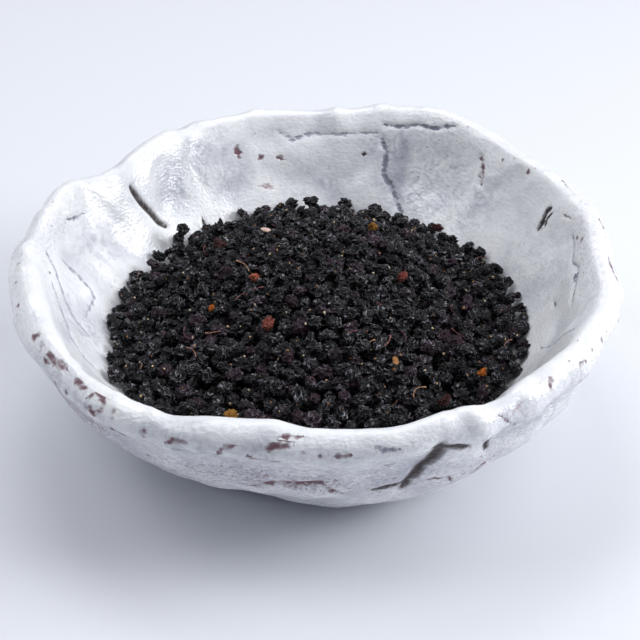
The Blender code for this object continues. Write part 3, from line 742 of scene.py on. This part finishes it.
def loose_pieces():
    """(node, kind, name of its skin, length, turn in degrees) of each loose berry, in the CAD's order."""
    found = []
    for kind, skins, places in (
            ("black", ("black",) * len(BLACK_BERRIES), BLACK_BERRIES),
            ("red", RED_SKINS, RED_BERRIES), ("tan", TAN_SKINS, TAN_BERRIES)):
        for number, (skin, (_, _, length, turn)) in enumerate(zip(skins, places), start=1):
            found.append((f"{kind}_elderberry_{number:02d}", kind, skin, length, turn))
    return found


def pour_berries(draw):
    """Drops berries one by one on to the mound, each where it comes to rest lowest.

    Returns (middle, length, turn, on edge) of each, and how much of each is in sight.
    """
    steps = np.arange(-POUR_RADIUS, POUR_RADIUS + CELL, CELL)
    grid = np.stack(np.meshgrid(steps, steps, indexing="ij"), axis=-1)
    distance = np.hypot(grid[..., 0], grid[..., 1])
    azimuth = np.arctan2(grid[..., 1], grid[..., 0])
    bowl = surface_below(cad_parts["bowl"].data, grid)
    crest = mound_height(distance, azimuth)
    lumps = noise_at(np.column_stack([grid.reshape(-1, 2), np.zeros(grid.size // 2)]), HEAP_LUMPS[0])
    crest = crest + HEAP_LUMPS[1] * lumps.reshape(crest.shape)
    side, spread, from_middle, reach, rise = HEAP_SWELL
    crest += (rise * falloff(angle_between(np.degrees(azimuth), side), spread)
              * falloff(distance - from_middle, reach))
    heights = np.maximum(bowl, crest - LOOSE_DEPTH)
    # Nothing rises into the berries, seeds and stalks that are solids of their own.
    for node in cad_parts:
        if node in ("bowl", "elderberry_heap"):
            continue
        low, high = (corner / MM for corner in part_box(node))
        inside = ((grid[..., 0] > low.x) & (grid[..., 0] < high.x)
                  & (grid[..., 1] > low.y) & (grid[..., 1] < high.y))
        crest[inside] = np.minimum(crest[inside], low.z - KEPT_CLEAR)
    owner = np.full(heights.shape, -1)
    poured, sizes, missed = [], [], 0
    while missed < GIVE_UP:
        length = draw.triangular(BERRY_LENGTHS[0], BERRY_LENGTHS[2], BERRY_LENGTHS[1])
        on_edge = draw.random() < ON_EDGE
        turn = draw.uniform(0, math.tau)
        half = np.array((HALF_LENGTH, *(EDGEWISE if on_edge else FLAT))) * length * PRESSED_TOGETHER
        reach = int(half[0] / CELL) + 1
        offsets = np.arange(-reach, reach + 1) * CELL
        dx, dy = np.meshgrid(offsets, offsets, indexing="ij")
        u = (dx * math.cos(turn) + dy * math.sin(turn)) / half[0]
        v = (-dx * math.sin(turn) + dy * math.cos(turn)) / half[1]
        inside = u ** 2 + v ** 2 < 1
        dome = half[2] * np.sqrt(np.maximum(1 - u ** 2 - v ** 2, 0))
        best = None
        for _ in range(SPOTS_TRIED):
            spot_azimuth, spot_distance = draw.uniform(0, math.tau), SPOT_RADIUS * math.sqrt(draw.random())
            row = int((spot_distance * math.cos(spot_azimuth) + POUR_RADIUS) / CELL)
            column = int((spot_distance * math.sin(spot_azimuth) + POUR_RADIUS) / CELL)
            rows, columns = slice(row - reach, row + reach + 1), slice(column - reach, column + reach + 1)
            under = heights[rows, columns]
            rest = np.max((under + dome)[inside])
            room = np.min(crest[rows, columns][inside] - (rest + dome)[inside])
            if best is None or room > best[0]:
                best = (room, rest, rows, columns, row, column)
        room, rest, rows, columns, row, column = best
        if room < -draw.uniform(*STANDS_PROUD):
            missed += 1
            continue
        missed = 0
        owner[rows, columns][inside] = len(poured)
        heights[rows, columns] = np.where(inside, rest + dome, heights[rows, columns])
        middle = np.array((*grid[row, column], rest))
        poured.append((middle, length, turn, on_edge))
        sizes.append(inside.sum())
    in_sight = np.bincount(owner[owner >= 0], minlength=len(poured)) / np.array(sizes)
    return poured, in_sight


def shrivelled(number, subdivisions):
    """A dried berry one unit long about the origin, and two waves over its skin: each crosses zero along
    the crests of its folds, first the thin ones from end to end, then the broad ones.

    Its skin has sunk on to the seeds: whole sides fell flat, and thin folds stand up, mostly lengthwise,
    with hollows between them.
    """
    draw = random.Random(number)
    shape = bmesh.new()
    bmesh.ops.create_icosphere(shape, subdivisions=subdivisions, radius=0.5)
    offset = Vector((number * 7.3, number * 3.1, number * 5.7))
    slumps = [(Vector([draw.gauss(0, 1) for _ in range(3)]).normalized(), draw.uniform(0.45, 0.8))
              for _ in range(SLUMPS)]
    length, width, height = BERRY_SHAPE
    proportions = length, width * draw.uniform(0.75, 1.1), height * draw.uniform(0.75, 1.15)
    ribs = draw.choice(RIBS)
    folds = []
    for vert in shape.verts:
        way = vert.co.normalized()
        warp = noise.noise_vector(way * 1.6 + offset)
        turns = ribs * math.atan2(way.z, way.y) / math.tau + RIB_WANDER * warp.x
        turns += 0.25 * RIB_WANDER * noise.noise(way * 4.2 - offset)
        rib_wave = math.sin(turns * math.pi)
        broad_wave = noise.noise((way + 0.4 * warp) * FOLDS_ACROSS + offset * 3) * 2.4
        rib, broad = 1 - abs(rib_wave), 1 - min(abs(broad_wave), 1)
        stands = 0.45 + 0.55 * min(max(0.5 + 1.4 * warp.y, 0), 1)
        sunk = FOLD_DEPTH * (1 - broad) + RIB_DEPTH * stands * (1 - rib)
        for facing, edge in slumps:
            sunk += SLUMP_DEPTH * max(way.dot(facing) - edge, 0) ** 1.3
        vert.co *= 1 - min(sunk, DEEPEST)
        vert.co = Vector(v * share for v, share in zip(vert.co, proportions))
        folds.append((rib_wave, broad_wave))
    reach = max(vert.co.x for vert in shape.verts) - min(vert.co.x for vert in shape.verts)
    bmesh.ops.scale(shape, verts=shape.verts, vec=(1 / reach,) * 3)
    return mesh_of(shape, f"skin_{number}"), np.array(folds)


def gather(name, parts, material, slot, *nodes):
    """Joins parts, each (mesh, folds, matrix in mm, own number), into pieces below the face limit."""
    pieces, batch, faces = [], [], 0
    for part in parts + [None]:
        if part is None or faces + len(part[0].polygons) > FACES_PER_PIECE:
            shape = bmesh.new()
            for mesh, _, matrix, _ in batch:
                placed = mesh.copy()
                placed.transform(Matrix.Scale(MM, 4) @ matrix)
                shape.from_mesh(placed)
                bpy.data.meshes.remove(placed)
            piece_name = f"{name}_{len(pieces) + 1:02d}" if part is not None or pieces else name
            joined = bpy.data.meshes.new(piece_name)
            shape.to_mesh(joined)
            shape.free()
            skin = np.concatenate([
                np.column_stack([folds, np.full(len(folds), own)])
                for _, folds, _, own in batch])
            attribute = joined.attributes.new("skin", "FLOAT_VECTOR", "POINT")
            attribute.data.foreach_set("vector", skin.astype(np.float32).ravel())
            pieces.append(finished(piece_name, joined, material, slot, *nodes))
            batch, faces = [], 0
        if part is not None:
            batch.append(part)
            faces += len(part[0].polygons)
    return pieces


def berry_matrix(middle, length, turn, tilt, on_edge):
    edge = Matrix.Rotation(math.pi / 2 if on_edge else 0.0, 4, "X")
    lean = Euler((tilt[0], tilt[1], turn)).to_matrix().to_4x4()
    return Matrix.Translation(Vector(middle)) @ lean @ edge @ Matrix.Scale(length, 4)


def berries_below():
    """The berries under the poured layers, as one dark mass."""
    inside = smooth_through(wall_points(INSIDE), (2,) * len(INSIDE))
    below = [p for p in inside if p.z < HEAP_EDGE - LOOSE_DEPTH]
    wall_side = [Vector((max(p.x - 1.2, 0.0), 0, p.z + 1.2)) for p in below]
    top = [Vector((wall_side[0].x * s, 0, mound_height(wall_side[0].x * s, 0.0) - LOOSE_DEPTH - 1.0))
           for s in (0.0, 0.25, 0.5, 0.75, 0.95)]
    profile = top + wall_side
    steps = len(profile) - 1
    shape = bmesh.new()
    bmesh.ops.create_uvsphere(shape, u_segments=192, v_segments=2 * steps, radius=1.0)
    for vert in shape.verts:
        step = math.acos(min(max(vert.co.z, -1.0), 1.0)) / math.pi * steps
        index = min(int(step), steps - 1)
        point = profile[index].lerp(profile[index + 1], step - index)
        turned = math.atan2(vert.co.y, vert.co.x)
        vert.co = point.x * math.cos(turned), point.x * math.sin(turned), point.z
        vert.co.z += 0.7 * noise.noise(vert.co / 3.0)
    mesh = mesh_of(shape, "berries_below")
    return mesh, np.ones((len(mesh.vertices), 2)), Matrix.Identity(4), 0.1


def make_heap(skins, coarse, berry_skin):
    """Everything that stands for the joined berries. Returns the fine berries, for what lies on them."""
    draw = random.Random(HEAP_SEED)
    poured, in_sight = pour_berries(draw)
    fine, rough = [], [berries_below()]
    for (middle, length, turn, on_edge), seen in zip(poured, in_sight):
        tilt = draw.gauss(0, LEAN / 2), draw.gauss(0, LEAN / 2)
        mesh, folds = draw.choice(skins if seen > SHOWS else coarse)
        part = (mesh, folds, berry_matrix(middle, length, turn, tilt, on_edge), draw.random())
        (fine if seen > SHOWS else rough).append(part)
    print("berries poured:", len(poured), "in sight:", len(fine))
    gather("heap_berries", fine, berry_skin, "black_berry", "elderberry_heap")
    gather("heap_underlayer", rough, berry_skin, "black_berry", "elderberry_heap")
    return fine, draw


def on_berry(part, draw):
    """A point of a berry's upper side and the direction it faces, in mm."""
    mesh, _, matrix, _ = part
    turn = matrix.to_3x3().normalized()
    while True:
        vert = mesh.vertices[draw.randrange(len(mesh.vertices))]
        way = (turn @ vert.normal).normalized()
        if way.z > 0.35:
            return matrix @ vert.co, way


def make_berry_ends(fine, fibre, draw):
    """The pale scars and stalk stubs left on some berries."""
    shape = bmesh.new()
    bmesh.ops.create_icosphere(shape, subdivisions=2, radius=0.5)
    for vert in shape.verts:
        vert.co *= 1 + 0.25 * noise.noise(vert.co * 4)
    stub = mesh_of(shape, "stub")
    flat = np.ones((len(stub.vertices), 2))
    parts = []
    for part in draw.sample(fine, BERRY_ENDS):
        point, way = on_berry(part, draw)
        size = draw.triangular(0.35, 1.0, 0.6)
        facing = way.to_track_quat("Z", "X").to_matrix().to_4x4()
        squash = Matrix.Diagonal((size, size * draw.uniform(0.6, 1.0), size * draw.uniform(0.45, 0.8), 1))
        matrix = Matrix.Translation(point + way * 0.05) @ facing @ squash
        parts.append((stub, flat, matrix, draw.random()))
    gather("berry_ends", parts, fibre, "tan_berry", "elderberry_heap")


def thread(points, radius, sides=8):
    """A closed round thread along points, in mm, thickest at its far end, where a berry hung."""
    shape = bmesh.new()
    turn = None
    rings = []
    count = len(points) - 1
    for index, point in enumerate(points):
        ahead = (points[min(index + 1, count)] - points[max(index - 1, 0)]).normalized()
        side = ahead.cross(Vector((0, 0, 1))).normalized()
        up = side.cross(ahead).normalized()
        share = index / count
        thick = radius * (0.75 + 0.25 * math.sin(share * 23) + 1.0 * max(share - 0.85, 0) / 0.15)
        made = bmesh.ops.create_circle(
            shape, cap_ends=index in (0, count), segments=sides, radius=1.0)["verts"]
        place = Matrix.Translation(point) @ Matrix((side, up, ahead)).transposed().to_4x4()
        bmesh.ops.transform(shape, verts=made, matrix=place @ Matrix.Scale(thick, 4))
        rings.append(made)
    for ring, following in zip(rings, rings[1:]):
        loops = [edge for edge in shape.edges
                 if all(v in ring for v in edge.verts) or all(v in following for v in edge.verts)]
        bmesh.ops.bridge_loops(shape, edges=loops)
    return shape


def make_stalks(fibre):
    """The stalks that are solids of their own, bowed along their length as in the CAD."""
    for number, (azimuth, distance, length, turn, bend) in enumerate(STALKS, start=1):
        name = f"berry_stalk_{number:02d}"
        turned = math.radians(azimuth)
        middle = Vector((distance * math.cos(turned), distance * math.sin(turned), 0))
        along = Vector((math.cos(math.radians(turn)), math.sin(math.radians(turn)), 0))
        across = Vector((-along.y, along.x, 0))
        route = []
        for step in range(17):
            share = step / 16 - 0.5
            bow = bend * (0.25 - share ** 2) * 4
            point = middle + (along * share + across * bow) * length
            wave = 0.12 * noise.noise(point * 0.9 + Vector((number * 3.3, 0, 0)))
            point.z = mound_height(point.xy.length, math.atan2(point.y, point.x)) + wave
            route.append(point)
        low, high = (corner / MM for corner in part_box(name))
        rise = low.z + STALK_RADIUS - min(point.z for point in route)
        mesh = mesh_of(thread([p + Vector((0, 0, rise)) for p in route], STALK_RADIUS), name)
        own = (number * 0.37) % 1.0
        gather(name + "_fibre", [(mesh, np.ones((len(mesh.vertices), 2)), Matrix.Identity(4), own)],
               fibre, "stalk", name)


def make_threads(fine, fibre, draw):
    """Thin stalks caught among the berries of the heap, each held by the berry that it lies on."""
    parts = []
    for part in draw.sample(fine, THREADS):
        point, way = on_berry(part, draw)
        length = draw.triangular(1.6, 5.0, 2.6)
        turn = draw.uniform(0, math.tau)
        along = Vector((math.cos(turn), math.sin(turn), draw.uniform(-0.15, 0.35))).normalized()
        across = along.cross(Vector((0, 0, 1))).normalized()
        bend = draw.uniform(-0.25, 0.25) * length
        route = []
        for step in range(7):
            share = step / 6 - 0.5
            sag = -0.35 * abs(share) * length
            route.append(point + along * share * length + across * bend * (0.25 - share ** 2) * 4
                         + Vector((0, 0, 0.15 + sag * 0.5)))
        mesh = mesh_of(thread(route, draw.uniform(0.08, 0.13), 6), "thread")
        parts.append((mesh, np.ones((len(mesh.vertices), 2)), Matrix.Identity(4), draw.random()))
    gather("caught_stalks", parts, fibre, "stalk", "elderberry_heap")


def make_loose_berries(berry_skin):
    """The berries that are solids of their own, each in its CAD solid's place and lean."""
    skins = {
        "black": berry_skin,
        # Each skin: colour of its hollows, the highlight painted along its crests, a juice tint and
        # roughness.
        "salmon": dried_skin("red_skin_salmon", "#a4543e", "#e6a487", "#a4563f", 0.5),
        "brick": dried_skin("red_skin_brick", "#74362d", "#d08a74", "#74382c", 0.5),
        "dark": dried_skin("red_skin_dark", "#361819", "#8f605b", "#3d1a1b", 0.48),
        "plum": dried_skin("red_skin_plum", "#23141a", "#8a6a78", "#37202b", 0.46),
        "straw": dried_skin("tan_skin_straw", "#8c6024", "#f0c264", "#a8742f", 0.5),
        "orange": dried_skin("tan_skin_orange", "#b35a14", "#ffb850", "#c4702a", 0.42),
    }
    for number, (node, kind, skin, length, turn) in enumerate(loose_pieces(), start=1):
        draw = random.Random(number)
        tilt = draw.uniform(-0.5, 0.5), draw.uniform(-0.4, 0.4)
        low, high = (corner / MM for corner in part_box(node))
        mesh, folds = shrivelled(100 + number, 4)
        matrix = berry_matrix((low + high) / 2, length * LOOSE_SHRINK, math.radians(turn), tilt, False)
        part = mesh, folds, matrix, draw.random() * 0.7
        gather(node + "_skin", [part], skins[skin], kind + "_berry", node)


def make_seeds(fibre):
    """Bare seeds: long, flattened, pointed at one end, with fine ribs across."""
    for number, (azimuth, distance, turn) in enumerate(SEEDS, start=1):
        name = f"elderberry_seed_{number:02d}"
        shape = bmesh.new()
        bmesh.ops.create_uvsphere(shape, u_segments=32, v_segments=20, radius=0.5)
        bmesh.ops.rotate(shape, verts=shape.verts, matrix=Matrix.Rotation(math.pi / 2, 3, "Y"))
        for vert in shape.verts:
            taper = 1 - 0.5 * max(vert.co.x, 0.0) + 0.035 * math.sin(vert.co.x * 42)
            taper -= WAISTED[number - 1] * math.exp(-(vert.co.x / 0.13) ** 2)
            taper += 0.5 * WAISTED[number - 1] * noise.noise(vert.co * 7 + Vector((number, 0, 0)))
            vert.co.y *= taper
            vert.co.z *= taper
        bmesh.ops.scale(shape, verts=shape.verts, vec=SEED_SIZE)
        low, high = (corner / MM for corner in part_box(name))
        mesh = mesh_of(shape, name)
        matrix = Matrix.Translation((low + high) / 2) @ Matrix.Rotation(math.radians(turn), 4, "Z")
        gather(name + "_coat", [(mesh, np.ones((len(mesh.vertices), 2)), matrix, (0.25, 0.9)[number - 1])],
               fibre, "seed", name)


def make_table():
    shape = bmesh.new()
    bmesh.ops.create_grid(shape, x_segments=1, y_segments=1, size=TABLE_SIZE)
    mesh = bpy.data.meshes.new("table")
    shape.to_mesh(mesh)
    shape.free()
    mesh.materials.append(table_top())
    table = bpy.data.objects.new("table", mesh)
    bpy.context.scene.collection.objects.link(table)


def area_light(name, place, size, watts):
    light = bpy.data.lights.new(name, "AREA")
    light.shape = "RECTANGLE"
    light.size, light.size_y = size
    light.energy = watts
    light.color = (0.965, 0.975, 1.0)
    lamp = bpy.data.objects.new(name, light)
    lamp.location = place
    lamp.rotation_euler = (-place).to_track_quat("-Z", "Y").to_euler()
    bpy.context.scene.collection.objects.link(lamp)


def make_studio():
    """Soft lights all round but on the near side, strongest from the right, a dim room, and the camera."""
    for name, azimuth, elevation, watts in SOFT_LIGHTS:
        turned, lifted = math.radians(azimuth), math.radians(elevation)
        way = Vector((
            math.cos(turned) * math.cos(lifted), math.sin(turned) * math.cos(lifted), math.sin(lifted)))
        area_light(name, way * LIGHT_DISTANCE, (LIGHT_SIDE, LIGHT_SIDE), watts)
    scene = bpy.context.scene
    world = bpy.data.worlds.new("pale_room")
    scene.world = world
    world.use_nodes = True
    background = world.node_tree.nodes["Background"]
    background.inputs["Color"].default_value = linear("#dfe6f7")
    background.inputs["Strength"].default_value = ROOM_LIGHT
    scene.view_settings.view_transform = "Standard"

    lens = bpy.data.cameras.new("eye")
    lens.lens, lens.sensor_width = LENS, SENSOR
    lens.clip_start = 0.01
    eye = bpy.data.objects.new("eye", lens)
    lift = math.radians(EYE_ELEVATION)
    aim = Vector((0, 0, AIM_HEIGHT))
    eye.location = aim + EYE_DISTANCE * Vector((0, -math.cos(lift), math.sin(lift)))
    eye.rotation_euler = (aim - eye.location).to_track_quat("-Z", "Y").to_euler()
    scene.collection.objects.link(eye)
    scene.camera = eye


def make_berries():
    # Left to itself, noise_vector starts from the clock.
    noise.seed_set(NOISE_SEED)
    skins = [shrivelled(number, 4) for number in range(FINE_SKINS)]
    coarse = [shrivelled(number, 3) for number in range(COARSE_SKINS)]
    # Black skin. Its second colour is the highlight painted along the crests of its folds.
    berry_skin = dried_skin("dried_elderberry_skin", "#030303", "#acabb4", "#472339", 0.36)
    straw = dry_fibre("dry_stalk_fibre", ("#3f1f25", "#6f3d45", "#b08664", "#7e4650"), 0.6)
    scars = dry_fibre("dry_stalk_scar", ("#7a4c2c", "#c08f5c", "#ecd19a", "#e3cdb8"), 0.6)
    seed_coat = dry_fibre("seed_coat", ("#6b4426", "#a5713d", "#c69a78", "#e2c9c0"), 0.5)
    fine, draw = make_heap(skins, coarse, berry_skin)
    make_berry_ends(fine, scars, draw)
    make_threads(fine, straw, draw)
    make_stalks(straw)
    make_loose_berries(berry_skin)
    make_seeds(seed_coat)
    for mesh in [m for m in bpy.data.meshes if not m.users]:
        bpy.data.meshes.remove(mesh)


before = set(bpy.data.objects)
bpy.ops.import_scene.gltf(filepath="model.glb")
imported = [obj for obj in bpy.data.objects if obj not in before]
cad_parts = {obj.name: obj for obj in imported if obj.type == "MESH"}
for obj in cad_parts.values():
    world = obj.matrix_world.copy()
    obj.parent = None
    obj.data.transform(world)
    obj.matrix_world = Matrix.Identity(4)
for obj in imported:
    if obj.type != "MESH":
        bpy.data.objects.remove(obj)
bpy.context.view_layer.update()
make_table()
make_studio()
make_bowl()
make_berries()
